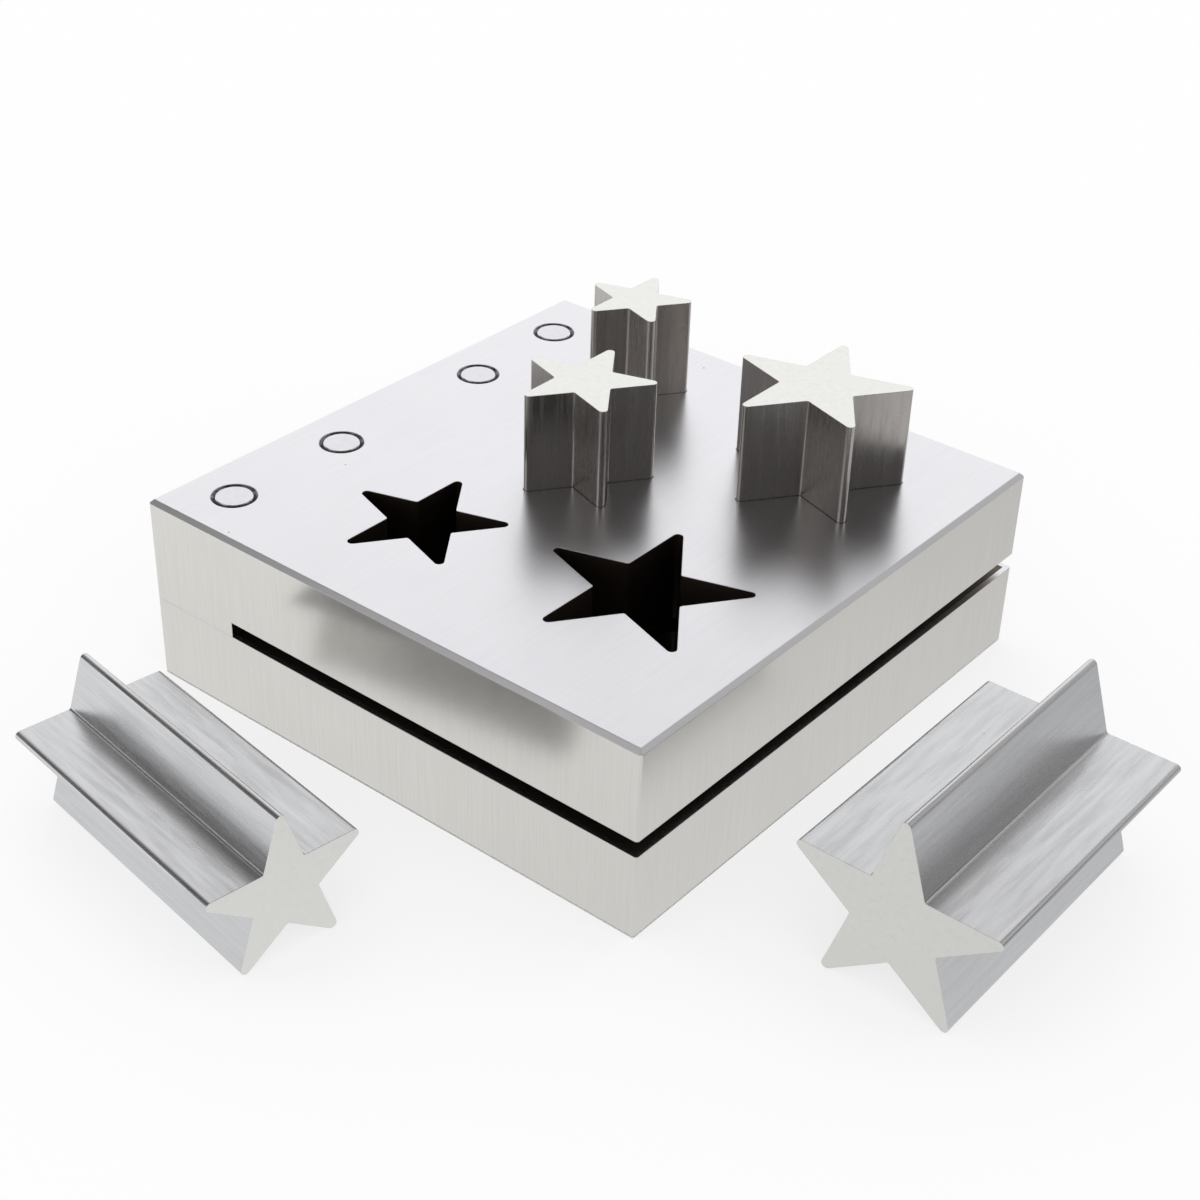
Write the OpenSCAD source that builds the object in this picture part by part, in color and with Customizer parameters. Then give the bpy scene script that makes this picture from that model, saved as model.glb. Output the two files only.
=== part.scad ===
// Star disc cutter: a block of two steel plates with a throat between them for sheet metal,
// five star holes straight down through both, and the five punches that fit the holes.
// The origin is the centre of the block's underside, which lies on the bench. The front is -Y.

/* [Block] */
// Length of the block, left to right
block_l = 100; // [98:1:120]
// Depth of the block, front to back
block_w = 98; // [97:1:116]
// Thickness of the lower, die plate
die_t = 14.5; // [12:0.5:20]
// Thickness of the upper, guide plate at its rear rib
guide_t = 18; // [14:0.5:24]
// Height of the throat that takes the sheet metal
throat_h = 2.7; // [1.5:0.1:4]
// Depth of the rear rib, where the two plates meet
rib_w = 17.5; // [15:0.5:19]
// Chamfer along the guide plate's top rim
rim_chamfer = 0.7; // [0.3:0.1:1.2]
// Broken edge on the block's other corners
edge_break = 0.35; // [0.2:0.05:0.5]

/* [Star punches] */
// Length of every punch
punch_l = 49.3; // [44:0.1:60]
// Centre to rounded tip, smallest star
smallest_reach = 9.05; // [8:0.05:10]
// Centre to rounded tip, small star
small_reach = 11.1; // [10:0.05:11.5]
// Centre to rounded tip, medium star
medium_reach = 13; // [12:0.05:13.5]
// Centre to rounded tip, large star
large_reach = 14.65; // [13.5:0.05:15]
// Centre to rounded tip, largest star
largest_reach = 16.75; // [15.5:0.05:17]
// Radius of the rounded star tips
tip_r = 0.75; // [0.5:0.05:1]
// Radius of the fillet along the star's inner corners
root_r = 0.45; // [0.3:0.05:0.6]
// Running clearance between a punch and the guide plate
guide_gap = 0.05; // [0.03:0.01:0.08]
// Cutting clearance between a punch and the die plate
die_gap = 0.04; // [0.03:0.01:0.08]

/* [Star layout, from the block's centre] */
// Smallest star, to the right
smallest_x = 30.3; // [29.5:0.1:31]
// Smallest star, to the rear
smallest_y = 16.6; // [16:0.1:17]
// Small star, to the right
small_x = 1.8; // [1:0.1:3]
// Small star, to the rear
small_y = 4.1; // [3.5:0.1:4.5]
// Medium star, to the right
medium_x = -26; // [-26.5:0.1:-25.5]
// Medium star, to the rear
medium_y = 12.9; // [12:0.1:13.5]
// Large star, to the right
large_x = 25.2; // [24.5:0.1:26]
// Large star, to the rear
large_y = -23.9; // [-24.5:0.1:-23]
// Largest star, to the right
largest_x = -18.9; // [-19.5:0.1:-18.5]
// Largest star, to the rear
largest_y = -24.2; // [-24.5:0.1:-24]

/* [Fasteners] */
// Diameter of the locating dowels
dowel_d = 6; // [5:0.5:6]
// Diameter of the clamping screws
screw_d = 6; // [5:0.5:6]
// Diameter of the screw heads
screw_head_d = 10; // [9:0.5:11]
// Height of the screw heads
screw_head_h = 6; // [5:0.5:7]
// Width across flats of the sockets in the screw heads
screw_key = 5; // [4:0.5:5]
// Depth of the sockets in the screw heads
screw_key_depth = 3; // [2:0.5:4]
// How far the screw heads lie above the block's underside
screw_head_recess = 1; // [0.5:0.5:2]
// Clearance round the screws and their heads in the die plate
screw_gap = 0.25; // [0.15:0.05:0.4]
// Chamfer on the fasteners' flush ends
flush_chamfer = 0.1; // [0.05:0.05:0.3]
// Countersink round the flush ends, beyond the fastener's own radius
flush_sink = 0.75; // [0.5:0.05:1]
// Fastener row, in from the block's rear face
row_in = 9.1; // [8.5:0.1:9.5]
// Right dowel, in from the block's rear face
right_dowel_row_in = 8; // [7.5:0.1:9]
// Left dowel, in from the block's left face
left_dowel_in = 9.6; // [8:0.1:12]
// Left screw, in from the block's left face
left_screw_in = 33; // [30:0.1:36]
// Right screw, in from the block's right face
right_screw_in = 33.9; // [31:0.1:36]
// Right dowel, in from the block's right face
right_dowel_in = 12.4; // [9:0.1:14]

/* [Loose punches on the bench] */
// Middle of the medium punch, out from the block's left face
medium_out = 29.4; // [24:0.1:40]
// Middle of the medium punch, to the rear of the block's centre
medium_back = 9.5; // [0:0.5:20]
// Heading of the medium punch's axis, turned from the block's long edge
medium_heading = 81.8; // [70:0.1:110]
// Middle of the largest punch, out from the block's front face
largest_out = 33; // [25:0.1:45]
// Middle of the largest punch, to the left of the block's centre
largest_left = 12.4; // [0:0.1:20]

/* [Hidden] */
$fn = 64;

// Points of a star, the turn from one tip to the next and half of a tip's own angle
points = 5;
tip_turn = 360 / points;
tip_half_angle = tip_turn / 4;
// Straight steps along each tip's arc and along each inner corner's fillet
tip_steps = 8;
root_steps = 4;
// How far a cutting shape runs past the face that it cuts
overrun = 2;

block_h = die_t + guide_t;
throat_back_y = block_w / 2 - rib_w;
row_y = block_w / 2 - row_in;
right_dowel_y = block_w / 2 - right_dowel_row_in;
dowel_places = [[left_dowel_in - block_l / 2, row_y], [block_l / 2 - right_dowel_in, right_dowel_y]];
screw_places = [[left_screw_in - block_l / 2, row_y], [block_l / 2 - right_screw_in, row_y]];
// Each star hole's reach and the place of its centre
star_holes = [
    [smallest_reach, [smallest_x, smallest_y]],
    [small_reach, [small_x, small_y]],
    [medium_reach, [medium_x, medium_y]],
    [large_reach, [large_x, large_y]],
    [largest_reach, [largest_x, largest_y]],
];

// A point at a distance and a turn from the centre
function polar(distance, turn) = distance * [cos(turn), sin(turn)];

// Height of a lying punch's axis, where it rests on two neighbouring tips
function lying_height(reach) = (reach - tip_r) * cos(tip_turn / 2) + tip_r;

// Points along an arc about a centre, from one turn to another
function arc_points(centre, r, from, to, steps) =
    [for (i = [0 : steps]) centre + polar(r, from + (to - from) * i / steps)];

// One tip's arc and the fillet of the inner corner after it. The straight flanks join arc to fillet
function tip_outline(centre, r, fillet_r, turn) =
    let (
        flank = centre * sin(tip_half_angle) + r,
        fillet_centre = polar((flank + fillet_r) / cos(tip_turn / 2), turn + tip_turn / 2)
    )
    concat(
        arc_points(polar(centre, turn), r, turn - tip_turn, turn + tip_turn, tip_steps),
        arc_points(fillet_centre, fillet_r, turn + 180 + tip_turn, turn + 180, root_steps)
    );

// Star outline, one tip towards +Y, its whole edge moved outwards by the gap
module star(reach, gap = 0) {
    turns = [for (i = [0 : points - 1]) 90 + i * tip_turn];
    polygon([for (turn = turns) for (p = tip_outline(reach - tip_r, tip_r + gap, root_r - gap, turn)) p]);
}

// Straight bevel cutter along X, for the lower front edge of a block that starts at the origin
module bevel(length, size) {
    rotate([90, 0, 90])
        linear_extrude(length)
            polygon([[-size, -size], [2 * size, -size], [-size, 2 * size]]);
}

// Bevels round a plate's rim at one height: facing = 1 cuts the rim of a top face, -1 of an underside
module rim_bevel(z, size, facing) {
    for (side = [0, 1, 2, 3]) {
        along = side % 2 == 0 ? block_l : block_w;
        across = side % 2 == 0 ? block_w : block_l;
        rotate(side * 90)
            translate([-along / 2 - overrun, -across / 2, z])
                mirror([0, 0, (facing + 1) / 2])
                    bevel(along + 2 * overrun, size);
    }
}

// Bevel along the rear edge only, where the two plates meet
module rear_bevel(z, facing) {
    translate([block_l / 2 + overrun, block_w / 2, z])
        rotate(180)
            mirror([0, 0, (facing + 1) / 2])
                bevel(block_l + 2 * overrun, edge_break);
}

// Plate outline with its four upright corners broken
module plate_outline() {
    x = block_l / 2;
    y = block_w / 2;
    polygon([
        [-x + edge_break, -y], [x - edge_break, -y], [x, -y + edge_break], [x, y - edge_break],
        [x - edge_break, y], [-x + edge_break, y], [-x, y - edge_break], [-x, -y + edge_break],
    ]);
}

// The five star holes, from one height up to another
module star_cutters(z0, z1, gap) {
    for (hole = star_holes)
        translate([hole[1].x, hole[1].y, z0 - overrun])
            linear_extrude(z1 - z0 + 2 * overrun)
                star(hole[0], gap);
}

module guide_plate() {
    color("gainsboro")
        difference() {
            translate([0, 0, die_t]) linear_extrude(guide_t) plate_outline();
            throat();
            star_cutters(die_t, block_h, guide_gap);
            for (place = dowel_places) flush_hole(place, dowel_d);
            for (place = screw_places) flush_hole(place, screw_d);
            rim_bevel(block_h, rim_chamfer, 1);
            rear_bevel(die_t, -1);
        }
}

// Throat milled into the guide plate's underside, open to the front and to both sides
module throat() {
    translate([-block_l / 2 - overrun, -block_w / 2 - overrun, die_t - overrun])
        cube([block_l + 2 * overrun, throat_back_y + block_w / 2 + overrun, throat_h + overrun]);
}

// Hole for a fastener whose end lies flush in the top face, with the countersink round it
module flush_hole(place, d) {
    sink_r = d / 2 + flush_sink;
    translate([place.x, place.y, die_t - overrun]) cylinder(d = d, h = guide_t + 2 * overrun);
    translate([place.x, place.y, block_h - flush_sink])
        cylinder(r1 = d / 2, r2 = sink_r + overrun, h = flush_sink + overrun);
}

module die_plate() {
    color("silver")
        difference() {
            linear_extrude(die_t) plate_outline();
            star_cutters(0, die_t, die_gap);
            for (place = dowel_places)
                translate([place.x, place.y, -overrun]) cylinder(d = dowel_d, h = die_t + 2 * overrun);
            for (place = screw_places) screw_passage(place);
            rim_bevel(0, edge_break, -1);
            rear_bevel(die_t, 1);
        }
}

// Clearance hole and counterbore for one clamping screw
module screw_passage(place) {
    translate([place.x, place.y, -overrun]) {
        cylinder(d = screw_d + 2 * screw_gap, h = die_t + 2 * overrun);
        cylinder(d = screw_head_d + 2 * screw_gap, h = screw_head_recess + screw_head_h + overrun);
    }
}

// Fastener shank from a height up to the top face, its flush end chamfered
module flush_shank(z, d) {
    translate([0, 0, z]) cylinder(d = d, h = block_h - flush_chamfer - z);
    translate([0, 0, block_h - flush_chamfer])
        cylinder(d1 = d, d2 = d - 2 * flush_chamfer, h = flush_chamfer);
}

module locating_dowels() {
    color("whitesmoke")
        for (place = dowel_places) translate(place) flush_shank(edge_break, dowel_d);
}

module clamping_screws() {
    color("dimgray")
        for (place = screw_places)
            translate(place)
                difference() {
                    union() {
                        flush_shank(screw_head_recess + screw_head_h - overrun, screw_d);
                        translate([0, 0, screw_head_recess]) cylinder(d = screw_head_d, h = screw_head_h);
                    }
                    hex_socket();
                }
}

// Hexagon socket in a screw head, open downwards
module hex_socket() {
    corner_r = screw_key / sqrt(3);
    translate([0, 0, screw_head_recess - overrun])
        linear_extrude(screw_key_depth + overrun)
            polygon([for (i = [0 : 5]) polar(corner_r, i * 60)]);
}

// Punch standing on the bench in its own hole
module standing_punch(reach, x, y) {
    translate([x, y]) linear_extrude(punch_l) star(reach);
}

// Punch lying on the bench on two tips, its axis level and its middle at the given place
module lying_punch(reach, x, y, heading) {
    translate([x, y, lying_height(reach)])
        rotate(heading)
            rotate([90, 0, 90])
                translate([0, 0, -punch_l / 2])
                    linear_extrude(punch_l)
                        star(reach);
}

module smallest_punch() {
    color("lightgray") standing_punch(smallest_reach, smallest_x, smallest_y);
}

module small_punch() {
    color("lightgray") standing_punch(small_reach, small_x, small_y);
}

module medium_punch() {
    color("silver") lying_punch(medium_reach, -block_l / 2 - medium_out, medium_back, medium_heading);
}

module large_punch() {
    color("lightgray") standing_punch(large_reach, large_x, large_y);
}

module largest_punch() {
    color("silver") lying_punch(largest_reach, -largest_left, -block_w / 2 - largest_out, 0);
}

guide_plate();
die_plate();
locating_dowels();
clamping_screws();
smallest_punch();
small_punch();
medium_punch();
large_punch();
largest_punch();
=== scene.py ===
import functools
import math
import bpy
from mathutils import Euler, Matrix, Vector


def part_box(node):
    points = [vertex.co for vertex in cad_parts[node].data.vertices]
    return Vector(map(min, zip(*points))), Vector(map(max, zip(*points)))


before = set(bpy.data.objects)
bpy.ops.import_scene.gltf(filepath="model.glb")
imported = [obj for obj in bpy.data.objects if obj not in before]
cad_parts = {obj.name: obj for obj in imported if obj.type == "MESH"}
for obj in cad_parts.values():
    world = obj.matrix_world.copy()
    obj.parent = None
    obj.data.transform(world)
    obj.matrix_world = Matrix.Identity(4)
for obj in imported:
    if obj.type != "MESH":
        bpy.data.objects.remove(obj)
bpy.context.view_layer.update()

mm = 0.001
print("frame loaded")


def linearColour(hexText):
    # sRGB hex to the linear colour that the shader wants
    parts = [int(hexText[i:i + 2], 16) / 255 for i in (1, 3, 5)]
    return [p / 12.92 if p <= 0.04045 else ((p + 0.055) / 1.055) ** 2.4 for p in parts] + [1.0]


def addNode(tree, kind, inputs=None, out=0, **settings):
    # one node with its settings; an input is a fixed value or another node's output socket
    node = tree.nodes.new("ShaderNode" + kind)
    for name, value in settings.items():
        setattr(node, name, value)
    for key, value in (inputs or {}).items():
        if isinstance(value, bpy.types.NodeSocket):
            tree.links.new(value, node.inputs[key])
        else:
            node.inputs[key].default_value = value
    return node if out is None else node.outputs[out]


def newMaterial(name):
    material = bpy.data.materials.new(name)
    material.use_nodes = True
    material.node_tree.nodes.clear()
    return material, functools.partial(addNode, material.node_tree)


def finishMaterial(add, colour, roughness, normal):
    # bare steel: fully metallic, so its colour is the tint of what it mirrors
    surface = add("BsdfPrincipled", {
        "Base Color": colour, "Roughness": roughness, "Normal": normal, "Metallic": 1.0})
    add("OutputMaterial", {"Surface": surface}, out=None)


# What all the steels share: which normals count as facing up or slanted, how a noise or a pit is drawn,
# and how far a softened normal leans on the flat and along a sharp edge
pattern = {
    "facingFrom": 0.8, "facingTo": 0.95, "slantFrom": 0.3, "slantTo": 0.45,
    "noiseRoughness": 0.6, "keptShare": 0.5, "pitCore": 0.5, "flatLean": 0.995, "sharpLean": 0.93,
    "edgeSamples": 6, "gapSamples": 8,
}


def grains(add, coords, spacing, detail=2.0):
    # noise whose grains measure spacing (x, y, z) in millimetres
    scaled = add("VectorMath", {0: coords, 1: [1 / (s * mm) for s in spacing]}, operation="MULTIPLY")
    return add("TexNoise", {
        "Vector": scaled, "Scale": 1.0, "Detail": detail, "Roughness": pattern["noiseRoughness"]})


def specks(add, coords, spacing, size):
    # small dark pits: one in each cell of the given spacing, kept on about half of the cells
    cells = add("TexVoronoi", {"Vector": coords, "Scale": 1 / (spacing * mm)}, out=None)
    chance = add("SeparateColor", {0: cells.outputs["Color"]})
    kept = add("Math", {0: chance, 1: pattern["keptShare"]}, operation="GREATER_THAN")
    near = add("MapRange", {
        "Value": cells.outputs["Distance"], "From Min": size / spacing * pattern["pitCore"],
        "From Max": size / spacing, "To Min": 1.0, "To Max": 0.0})
    return add("Math", {0: near, 1: kept}, operation="MULTIPLY")


def edgeGlint(add, radius):
    # a normal softened over the radius, and how far it leans from the true one: 1 along a sharp edge
    soft = add("Bevel", {"Radius": radius * mm}, samples=pattern["edgeSamples"])
    true = add("NewGeometry", out="Normal")
    lean = add("VectorMath", {0: soft, 1: true}, out="Value", operation="DOT_PRODUCT")
    edge = add("MapRange", {
        "Value": lean, "From Min": pattern["flatLean"], "From Max": pattern["sharpLean"]})
    return soft, edge


# Ground tool steel plates. The top is surface ground, so it mirrors softly and stays bluish white.
# The sides are belt ground upright, so they look warmer and faintly lined. The star holes and the throat
# get a painted shade, a dark brownish grey; the countersinks round the fasteners are turned, dull and
# mottled.
plate = {
    "topColour": "#F9F9FD", "topGrainColour": "#F5F5F9",
    "sideColour": "#EDEBE6", "sideGrainColour": "#E9E7E2",
    "chamferColour": "#E6E7EA", "insideShadeColour": "#7A6E66", "sinkColour": "#8B8A8F", "sinkStain": "#4B4A4E",
    "glintColour": "#F8F8FA", "pitColour": "#6B6864", "gapShadeColour": "#262422",
    "topRoughness": 0.31, "sideRoughness": 0.18, "chamferRoughness": 0.3, "insideRoughness": 0.5,
    "grainAcross": 0.35, "grainAlong": 14.0,  # mm, drawn about twice as coarse as real so that it shows
    "cloud": 22.0, "sinkMottle": 0.5, "speckSpacing": 9.0, "speckSize": 0.2, "edgeRadius": 0.16,
    "skinDepth": 0.12, "marginDepth": 0.96, "gapReach": 0.4, "grainDepth": 0.02,
    "glintShare": 0.5, "faintShare": 0.3, "cloudShade": 0.96, "cloudRoughness": 0.03, "bumpStrength": 0.1,
}


def groundPlateSteel(name, low, high, topZ):
    material, add = newMaterial(name)
    coords = add("TexCoord", out="Object")
    spot = add("SeparateXYZ", {0: coords}, out=None)
    up = add("SeparateXYZ", {0: add("TexCoord", out="Normal")}, out=2)
    onTop = add("MapRange", {
        "Value": up, "From Min": pattern["facingFrom"], "From Max": pattern["facingTo"]})
    aboveUpright = add("MapRange", {
        "Value": up, "From Min": pattern["slantFrom"], "From Max": pattern["slantTo"]})
    slanted = add("Math", {0: aboveUpright, 1: onTop}, operation="SUBTRACT")

    # inside: below the top face and within the outer faces, which leaves the holes and the throat
    inside = add("MapRange", {
        "Value": spot.outputs[2], "From Min": topZ, "From Max": topZ - plate["skinDepth"] * mm})
    aboveBench = add("MapRange", {"Value": spot.outputs[2], "From Max": plate["skinDepth"] * mm})
    inside = add("Math", {0: inside, 1: aboveBench}, operation="MULTIPLY")
    for axis, limit in ((0, low[0]), (1, low[1]), (0, high[0]), (1, high[1])):
        offset = add("Math", {0: spot.outputs[axis], 1: limit}, operation="SUBTRACT")
        distance = add("Math", {0: offset}, operation="ABSOLUTE")
        clear = add("Math", {0: distance, 1: plate["marginDepth"] * mm}, operation="GREATER_THAN")
        inside = add("Math", {0: inside, 1: clear}, operation="MULTIPLY")
    sink = add("Math", {0: inside, 1: slanted}, operation="MULTIPLY")
    inside = add("Math", {0: inside, 1: sink}, operation="SUBTRACT")

    upright = grains(add, coords, (plate["grainAcross"], plate["grainAcross"], plate["grainAlong"]))
    level = grains(add, coords, (plate["grainAlong"], plate["grainAcross"], plate["grainAcross"]))
    cloud = grains(add, coords, [plate["cloud"]] * 3, 3.0)
    mottle = grains(add, coords, [plate["sinkMottle"]] * 3, 3.0)
    pit = specks(add, coords, plate["speckSpacing"], plate["speckSize"])
    softNormal, edge = edgeGlint(add, plate["edgeRadius"])

    sideTint = add("Mix", {
        0: add("MapRange", {"Value": upright, "From Min": 0.35, "From Max": 0.65}),
        6: linearColour(plate["sideColour"]),
        7: linearColour(plate["sideGrainColour"])}, out=2, data_type="RGBA")
    topTint = add("Mix", {
        0: add("MapRange", {"Value": level, "From Min": 0.3, "From Max": 0.7}),
        6: linearColour(plate["topColour"]),
        7: linearColour(plate["topGrainColour"])}, out=2, data_type="RGBA")
    sinkTint = add("Mix", {
        0: add("MapRange", {"Value": mottle, "From Min": 0.42, "From Max": 0.62}),
        6: linearColour(plate["sinkColour"]),
        7: linearColour(plate["sinkStain"])}, out=2, data_type="RGBA")
    colour = add("Mix", {0: onTop, 6: sideTint, 7: topTint}, out=2, data_type="RGBA")
    chamferTint = linearColour(plate["chamferColour"])
    colour = add("Mix", {0: slanted, 6: colour, 7: chamferTint}, out=2, data_type="RGBA")
    shade = add("MapRange", {
        "Value": cloud, "From Min": 0.3, "From Max": 0.7, "To Min": plate["cloudShade"]})
    colour = add("VectorMath", {0: colour, "Scale": shade}, operation="SCALE")
    colour = add("Mix", {0: pit, 6: colour, 7: linearColour(plate["pitColour"])}, out=2, data_type="RGBA")
    glint = add("Math", {0: edge, 1: plate["glintShare"]}, operation="MULTIPLY")
    glintTint = linearColour(plate["glintColour"])
    colour = add("Mix", {0: glint, 6: colour, 7: glintTint}, out=2, data_type="RGBA")
    # painted shade: the walls of the holes and the throat are coloured dark brownish grey, as the shade in
    # them
    paintedInsideShade = linearColour(plate["insideShadeColour"])
    colour = add("Mix", {0: inside, 6: colour, 7: paintedInsideShade}, out=2, data_type="RGBA")
    colour = add("Mix", {0: sink, 6: colour, 7: sinkTint}, out=2, data_type="RGBA")

    # painted shade: a fine dark line where a punch or a fastener stands in its hole, drawn from ambient
    # occlusion
    openness = add("AmbientOcclusion", {
        "Distance": plate["gapReach"] * mm}, out="AO", samples=pattern["gapSamples"])
    gapShadeMask = add("MapRange", {
        "Value": openness, "From Min": 0.55, "From Max": 0.8, "To Min": 1.0, "To Max": 0.0})
    colour = add("Mix", {
        0: add("Math", {0: gapShadeMask, 1: onTop}, operation="MULTIPLY"),
        6: colour, 7: linearColour(plate["gapShadeColour"])}, out=2, data_type="RGBA")

    roughness = add("Mix", {0: onTop, 2: plate["sideRoughness"], 3: plate["topRoughness"]})
    roughness = add("Mix", {0: slanted, 2: roughness, 3: plate["chamferRoughness"]})
    wander = add("MapRange", {
        "Value": cloud, "From Min": 0.3, "From Max": 0.7,
        "To Min": -plate["cloudRoughness"], "To Max": plate["cloudRoughness"]})
    roughness = add("Math", {0: roughness, 1: wander}, operation="ADD")
    roughness = add("Mix", {0: inside, 2: roughness, 3: plate["insideRoughness"]})
    faintLevel = add("Math", {0: level, 1: plate["faintShare"]}, operation="MULTIPLY")
    grain = add("Mix", {0: onTop, 2: upright, 3: faintLevel})
    height = add("Math", {0: grain, 1: pit}, operation="SUBTRACT")
    normal = add("Bump", {
        "Height": height, "Normal": softNormal,
        "Strength": plate["bumpStrength"], "Distance": plate["grainDepth"] * mm})
    finishMaterial(add, colour, roughness, normal)
    return material


# Wire-cut punch steel. The flanks are cut along the punch, so their faint lines run lengthwise, with dull
# patches here and there. The punches that stand in the block get a painted shade: their flanks are coloured
# darker and warmer than the loose ones. The ends are ground square, pale and almost without lines.
punch = {
    "flankColour": "#E0E1E3", "standingFlankShadeColour": "#CBC7C3", "lineShade": 0.93, "stainShade": 0.84,
    "endColour": "#F0F0EC",
    "glintColour": "#F8F8F8", "pitColour": "#6E6A66", "flankRoughness": 0.24, "endRoughness": 0.22,
    "lineAcross": 0.4, "lineAlong": 26.0, "stainAcross": 1.1, "stainAlong": 12.0,  # mm
    "speckSpacing": 5.0, "speckSize": 0.16, "edgeRadius": 0.12, "lineDepth": 0.02,
    "glintShare": 0.6, "smoothest": -0.04, "dullest": 0.08, "bumpStrength": 0.12,
}


def wireCutPunchSteel(name, middle, turn, flankHex):
    material, add = newMaterial(name)
    clean = linearColour(flankHex)
    local = add("Mapping", {
        "Vector": add("TexCoord", out="Object"), "Location": middle,
        "Rotation": turn}, vector_type="TEXTURE")
    axis = turn.to_matrix() @ Vector((0, 0, 1))
    facing = add("TexCoord", out="Normal")
    along = add("VectorMath", {0: facing, 1: axis}, out="Value", operation="DOT_PRODUCT")
    either = add("Math", {0: along}, operation="ABSOLUTE")
    onEnd = add("MapRange", {
        "Value": either, "From Min": pattern["facingFrom"], "From Max": pattern["facingTo"]})
    lines = grains(add, local, (punch["lineAcross"], punch["lineAcross"], punch["lineAlong"]), 4.0)
    patches = grains(add, local, (punch["stainAcross"], punch["stainAcross"], punch["stainAlong"]), 4.0)
    pit = specks(add, local, punch["speckSpacing"], punch["speckSize"])
    softNormal, edge = edgeGlint(add, punch["edgeRadius"])

    flank = add("Mix", {
        0: add("MapRange", {"Value": lines, "From Min": 0.38, "From Max": 0.7}),
        6: clean, 7: [c * punch["lineShade"] for c in clean[:3]] + [1.0]}, out=2, data_type="RGBA")
    stain = add("MapRange", {"Value": patches, "From Min": 0.52, "From Max": 0.8, "To Max": 0.4})
    dull = [c * punch["stainShade"] for c in clean[:3]] + [1.0]
    flank = add("Mix", {0: stain, 6: flank, 7: dull}, out=2, data_type="RGBA")
    colour = add("Mix", {0: onEnd, 6: flank, 7: linearColour(punch["endColour"])}, out=2, data_type="RGBA")
    colour = add("Mix", {0: pit, 6: colour, 7: linearColour(punch["pitColour"])}, out=2, data_type="RGBA")
    glint = add("Math", {0: edge, 1: punch["glintShare"]}, operation="MULTIPLY")
    glintTint = linearColour(punch["glintColour"])
    colour = add("Mix", {0: glint, 6: colour, 7: glintTint}, out=2, data_type="RGBA")

    roughness = add("Mix", {0: onEnd, 2: punch["flankRoughness"], 3: punch["endRoughness"]})
    wander = add("MapRange", {
        "Value": patches, "From Min": 0.3, "From Max": 0.7,
        "To Min": punch["smoothest"], "To Max": punch["dullest"]})
    roughness = add("Math", {0: roughness, 1: wander}, operation="ADD")
    onFlank = add("Math", {0: 1.0, 1: onEnd}, operation="SUBTRACT")
    ridges = add("Math", {0: lines, 1: onFlank}, operation="MULTIPLY")
    height = add("Math", {0: ridges, 1: pit}, operation="SUBTRACT")
    normal = add("Bump", {
        "Height": height, "Normal": softNormal,
        "Strength": punch["bumpStrength"], "Distance": punch["lineDepth"] * mm})
    finishMaterial(add, colour, roughness, normal)
    return material


# Hardened dowels and screws, their ends ground flush with the plate and left with faint turning rings
fastener = {
    "colour": "#EDEDF1", "ringColour": "#DCDCE0", "smooth": 0.18, "worn": 0.27,  # smooth and worn roughness
    "dowelRadius": 3.0, "headRadius": 5.0, "ringSpacing": 0.3, "ringDepth": 0.01, "wornPatch": 1.2,  # mm
    "edgeRadius": 0.1, "bumpStrength": 0.15,
}


def turnedFastenerSteel(name, places):
    material, add = newMaterial(name)
    coords = add("TexCoord", out="Object")
    level = add("VectorMath", {0: coords, 1: (1, 1, 0)}, operation="MULTIPLY")
    nearest = add("VectorMath", {0: level, 1: (*places[0], 0)}, out="Value", operation="DISTANCE")
    for x, y in places[1:]:
        away = add("VectorMath", {0: level, 1: (x, y, 0)}, out="Value", operation="DISTANCE")
        nearest = add("Math", {0: nearest, 1: away}, operation="MINIMUM")
    turns = add("Math", {0: nearest, 1: 2 * math.pi / (fastener["ringSpacing"] * mm)}, operation="MULTIPLY")
    waves = add("Math", {0: turns}, operation="SINE")
    worn = grains(add, coords, [fastener["wornPatch"]] * 3)
    shown = add("MapRange", {"Value": worn, "From Min": 0.4, "From Max": 0.6})
    rings = add("Math", {0: waves, 1: shown}, operation="MULTIPLY")
    softNormal = edgeGlint(add, fastener["edgeRadius"])[0]
    colour = add("Mix", {
        0: add("MapRange", {"Value": rings, "From Min": -0.5, "From Max": 1.0}),
        6: linearColour(fastener["colour"]),
        7: linearColour(fastener["ringColour"])}, out=2, data_type="RGBA")
    roughness = add("MapRange", {
        "Value": worn, "From Min": 0.3, "From Max": 0.7,
        "To Min": fastener["smooth"], "To Max": fastener["worn"]})
    normal = add("Bump", {
        "Height": rings, "Normal": softNormal,
        "Strength": fastener["bumpStrength"], "Distance": fastener["ringDepth"] * mm})
    finishMaterial(add, colour, roughness, normal)
    return material


def dress(nodeName, material):
    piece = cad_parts[nodeName]
    piece.data.materials.clear()
    piece.data.materials.append(material)


plateLow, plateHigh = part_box("guide_plate")
dieLow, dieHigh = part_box("die_plate")
dress("guide_plate", groundPlateSteel("groundGuidePlateSteel", plateLow, plateHigh, plateHigh[2]))
dress("die_plate", groundPlateSteel("groundDiePlateSteel", dieLow, dieHigh, plateHigh[2]))
print("plates dressed")

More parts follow.
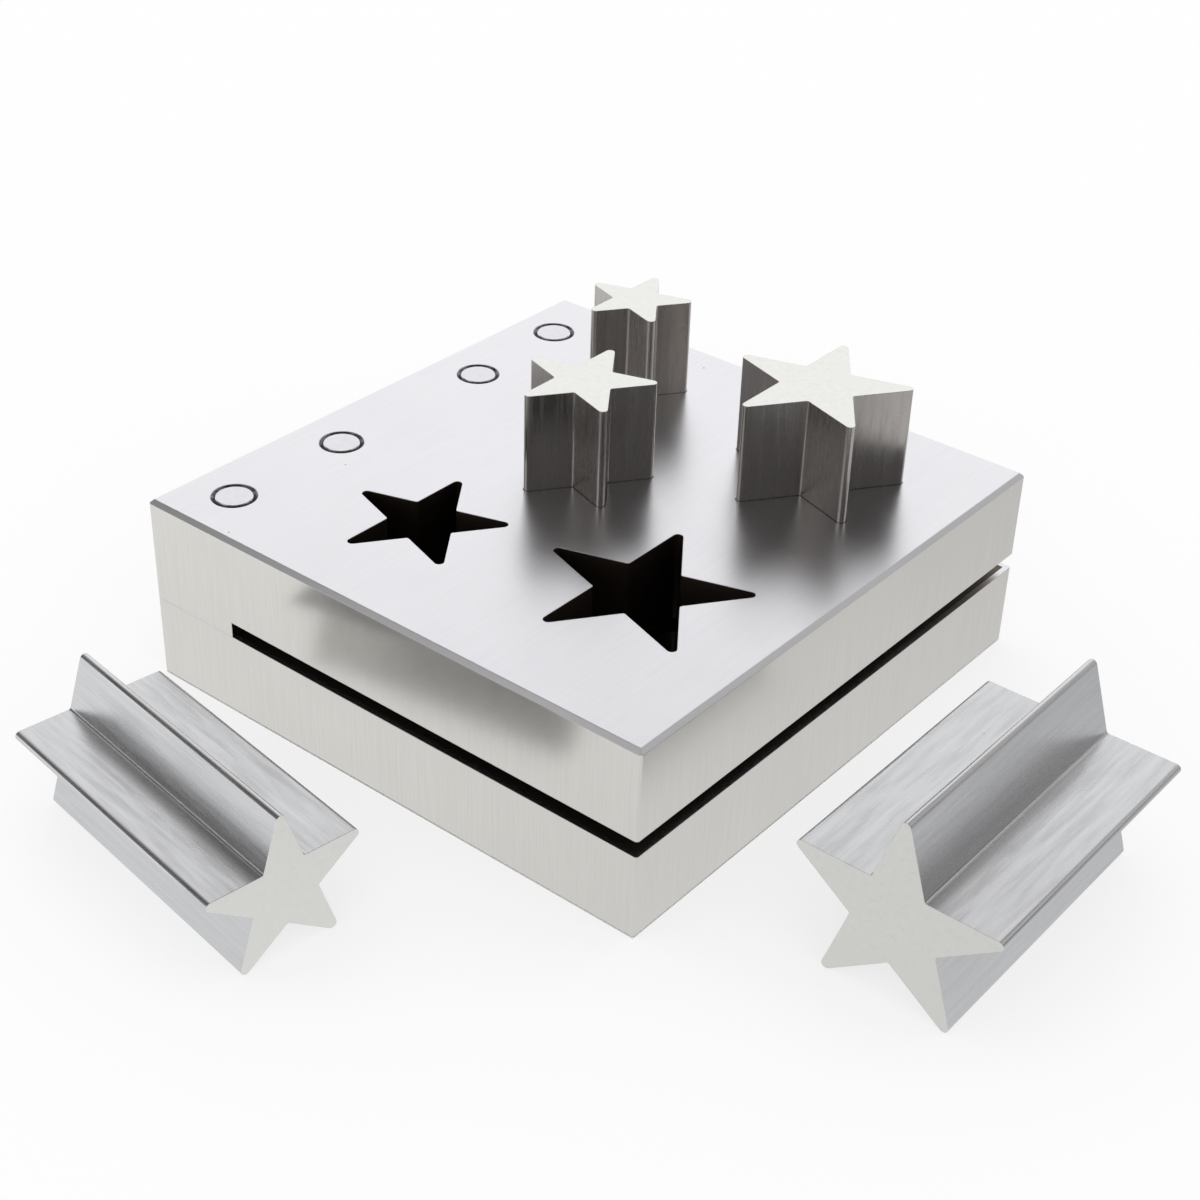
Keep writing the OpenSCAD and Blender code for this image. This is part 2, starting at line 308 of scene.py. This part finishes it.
# Which way each punch's axis points, as the turn that takes +Z there, in degrees
standing = (0, 0, 0)
alongBlock = 90
mediumHeading = 81.8
punchTurns = {
    "smallest_punch": standing, "small_punch": standing, "large_punch": standing,
    "medium_punch": (90, 0, alongBlock + mediumHeading), "largest_punch": (90, 0, alongBlock),
}
for nodeName, turn in punchTurns.items():
    low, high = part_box(nodeName)
    middle = (Vector(low) + Vector(high)) / 2
    title = "wireCut" + "".join(word.capitalize() for word in nodeName.split("_")) + "Steel"
    # the standing punches take the painted shade, a darker and warmer copy of the flank colour
    flankHex = punch["flankColour" if turn[0] else "standingFlankShadeColour"]
    dress(nodeName, wireCutPunchSteel(title, middle, Euler([math.radians(a) for a in turn]), flankHex))
print("punches dressed")


def fastenerPlaces(nodeName, radiusInMm):
    # the two fasteners of a node stand at the two ends of its box
    low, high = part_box(nodeName)
    radius = radiusInMm * mm
    return [(low[0] + radius, low[1] + radius), (high[0] - radius, high[1] - radius)]


dowelPlaces = fastenerPlaces("locating_dowels", fastener["dowelRadius"])
screwPlaces = fastenerPlaces("clamping_screws", fastener["headRadius"])
dress("locating_dowels", turnedFastenerSteel("groundDowelSteel", dowelPlaces))
dress("clamping_screws", turnedFastenerSteel("groundScrewSteel", screwPlaces))
print("fasteners dressed")

# The camera's place and turn, solved from the block's corners
viewpoint = {
    "place": (-0.22653, -0.18150, 0.19954), "azimuth": -51.53, "elevation": 33.02, "roll": 1.836,
    "lens": 63.22, "sensorWidth": 36,
}


def placeCamera():
    azimuth = math.radians(viewpoint["azimuth"])
    elevation = math.radians(viewpoint["elevation"])
    roll = math.radians(viewpoint["roll"])
    back = Vector((math.sin(azimuth) * math.cos(elevation), -math.cos(azimuth) * math.cos(elevation),
                   math.sin(elevation)))
    levelRight = Vector((math.cos(azimuth), math.sin(azimuth), 0))
    levelUp = back.cross(levelRight)
    right = levelRight * math.cos(roll) + levelUp * math.sin(roll)
    up = levelUp * math.cos(roll) - levelRight * math.sin(roll)
    data = bpy.data.cameras.new("photoCamera")
    data.sensor_width = viewpoint["sensorWidth"]
    data.lens = viewpoint["lens"]
    camera = bpy.data.objects.new("photoCamera", data)
    bpy.context.scene.collection.objects.link(camera)
    turn = Matrix((right, up, back)).transposed().to_4x4()
    camera.matrix_world = Matrix.Translation(viewpoint["place"]) @ turn
    bpy.context.scene.camera = camera
    return back


towardsCamera = placeCamera()
leftOfPicture = (-math.sqrt(0.5), math.sqrt(0.5), 0)

# White paper on the bench and a white backdrop behind it. The room behind the camera is unlit but for
# softboxes to the left, to the right and overhead, and the steel shows all of that.
studio = {
    "floorSize": 3.0, "floorColour": "#FFFFFF", "lift": 0.72,
    "paperDrop": 0.02,  # mm below the bench plane, so that nothing rests in the same plane
    "paperLeft": 1.0, "paperRight": 0.45, "paperReach": 0.3,  # mirrored paper: two levels, and metres
    "unlit": 0.07, "litUntil": -0.34, "unlitFrom": 0.04,  # a level, and two cosines to the camera
    "softboxes": ((152, 37, 15), (318, 38, 14), (0, 90, 14)),  # azimuth, elevation and reach in degrees
    "softboxLevel": 0.62, "softboxFade": 10,
    "roomTint": (1.0, 0.955, 0.935, 1.0), "horizonLow": 2, "horizonHigh": 14, "horizonRight": 0.2,
}


def makeFloor():
    size = studio["floorSize"] / 2
    mesh = bpy.data.meshes.new("benchTop")
    corners = [(-size, -size, 0), (size, -size, 0), (size, size, 0), (-size, size, 0)]
    mesh.from_pydata(corners, [], [(0, 1, 2, 3)])
    floor = bpy.data.objects.new("benchTop", mesh)
    floor.location.z = -studio["paperDrop"] * mm
    bpy.context.scene.collection.objects.link(floor)
    material, add = newMaterial("whiteBenchPaper")
    coords = add("TexCoord", out="Object")
    spot = add("SeparateXYZ", {0: coords}, out=None)

    # under the block the paper gets no light, so the empty star holes stay dark
    alongX = add("Math", {0: spot.outputs[0]}, operation="ABSOLUTE")
    alongY = add("Math", {0: spot.outputs[1]}, operation="ABSOLUTE")
    pastEnd = add("Math", {0: alongX, 1: dieHigh[0]}, operation="GREATER_THAN")
    pastSide = add("Math", {0: alongY, 1: dieHigh[1]}, operation="GREATER_THAN")
    uncovered = add("Math", {0: pastEnd, 1: pastSide}, operation="MAXIMUM")

    # the camera sees white paper with a faint shadow, the steel sees it fade to the right
    rays = add("LightPath", out=None)
    mirrored = add("Math", {
        0: rays.outputs["Is Glossy Ray"], 1: rays.outputs["Is Transmission Ray"]}, operation="MAXIMUM")
    direct = add("Math", {0: rays.outputs["Is Camera Ray"], 1: studio["lift"]}, operation="MULTIPLY")
    seen = add("Math", {0: direct, 1: mirrored}, operation="MAXIMUM")
    factor = add("Math", {0: seen, 1: uncovered}, operation="MULTIPLY")
    leftwards = add("VectorMath", {0: coords, 1: leftOfPicture}, out="Value", operation="DOT_PRODUCT")
    paperLevel = add("MapRange", {
        "Value": leftwards, "From Min": -studio["paperReach"], "From Max": studio["paperReach"],
        "To Min": studio["paperRight"], "To Max": studio["paperLeft"]})
    glowLevel = add("Mix", {0: mirrored, 2: 1.0, 3: paperLevel})
    paper = add("BsdfDiffuse", {"Color": linearColour(studio["floorColour"])})
    glow = add("Emission", {"Color": (1, 1, 1, 1), "Strength": glowLevel})
    add("OutputMaterial", {"Surface": add("MixShader", {0: factor, 1: paper, 2: glow})}, out=None)
    mesh.materials.append(material)


def lightStudio():
    world = bpy.data.worlds.new("studioWhite")
    bpy.context.scene.world = world
    world.use_nodes = True
    world.node_tree.nodes.clear()
    add = functools.partial(addNode, world.node_tree)
    way = add("TexCoord", out="Generated")
    facing = add("VectorMath", {0: way, 1: towardsCamera}, out="Value", operation="DOT_PRODUCT")
    level = add("MapRange", {
        "Value": facing, "From Min": studio["litUntil"], "From Max": studio["unlitFrom"],
        "To Min": 1.0, "To Max": studio["unlit"]}, interpolation_type="SMOOTHSTEP")
    # round the horizon the paper sweeps up, brighter on the left as on the bench
    height = add("SeparateXYZ", {0: way}, out=2)
    sweep = add("MapRange", {
        "Value": height, "From Min": math.sin(math.radians(studio["horizonHigh"])),
        "From Max": math.sin(math.radians(studio["horizonLow"]))})
    leftwards = add("VectorMath", {0: way, 1: leftOfPicture}, out="Value", operation="DOT_PRODUCT")
    sweepLevel = add("MapRange", {"Value": leftwards, "From Min": -1.0, "To Min": studio["horizonRight"]})
    sweepLight = add("Math", {0: sweep, 1: sweepLevel}, operation="MULTIPLY")
    level = add("Math", {0: level, 1: sweepLight}, operation="MAXIMUM")
    for azimuth, elevation, reach in studio["softboxes"]:
        flat = math.cos(math.radians(elevation))
        towards = (flat * math.cos(math.radians(azimuth)), flat * math.sin(math.radians(azimuth)),
                   math.sin(math.radians(elevation)))
        closeness = add("VectorMath", {0: way, 1: towards}, out="Value", operation="DOT_PRODUCT")
        softbox = add("MapRange", {
            "Value": closeness, "From Min": math.cos(math.radians(reach + studio["softboxFade"])),
            "From Max": math.cos(math.radians(reach)), "To Max": studio["softboxLevel"]})
        level = add("Math", {0: level, 1: softbox}, operation="MAXIMUM")
    # plain white for the camera and for the light that falls on the paper
    rays = add("LightPath", out=None)
    plain = add("Math", {
        0: rays.outputs["Is Camera Ray"], 1: rays.outputs["Is Diffuse Ray"]}, operation="MAXIMUM")
    strength = add("Mix", {0: plain, 2: level, 3: 1.0})
    tint = add("Mix", {0: strength, 6: studio["roomTint"], 7: (1, 1, 1, 1)}, out=2, data_type="RGBA")
    add("OutputWorld", {"Surface": add("Background", {"Color": tint, "Strength": strength})}, out=None)


makeFloor()
lightStudio()
bpy.context.scene.view_settings.view_transform = "Standard"
print("studio lit")
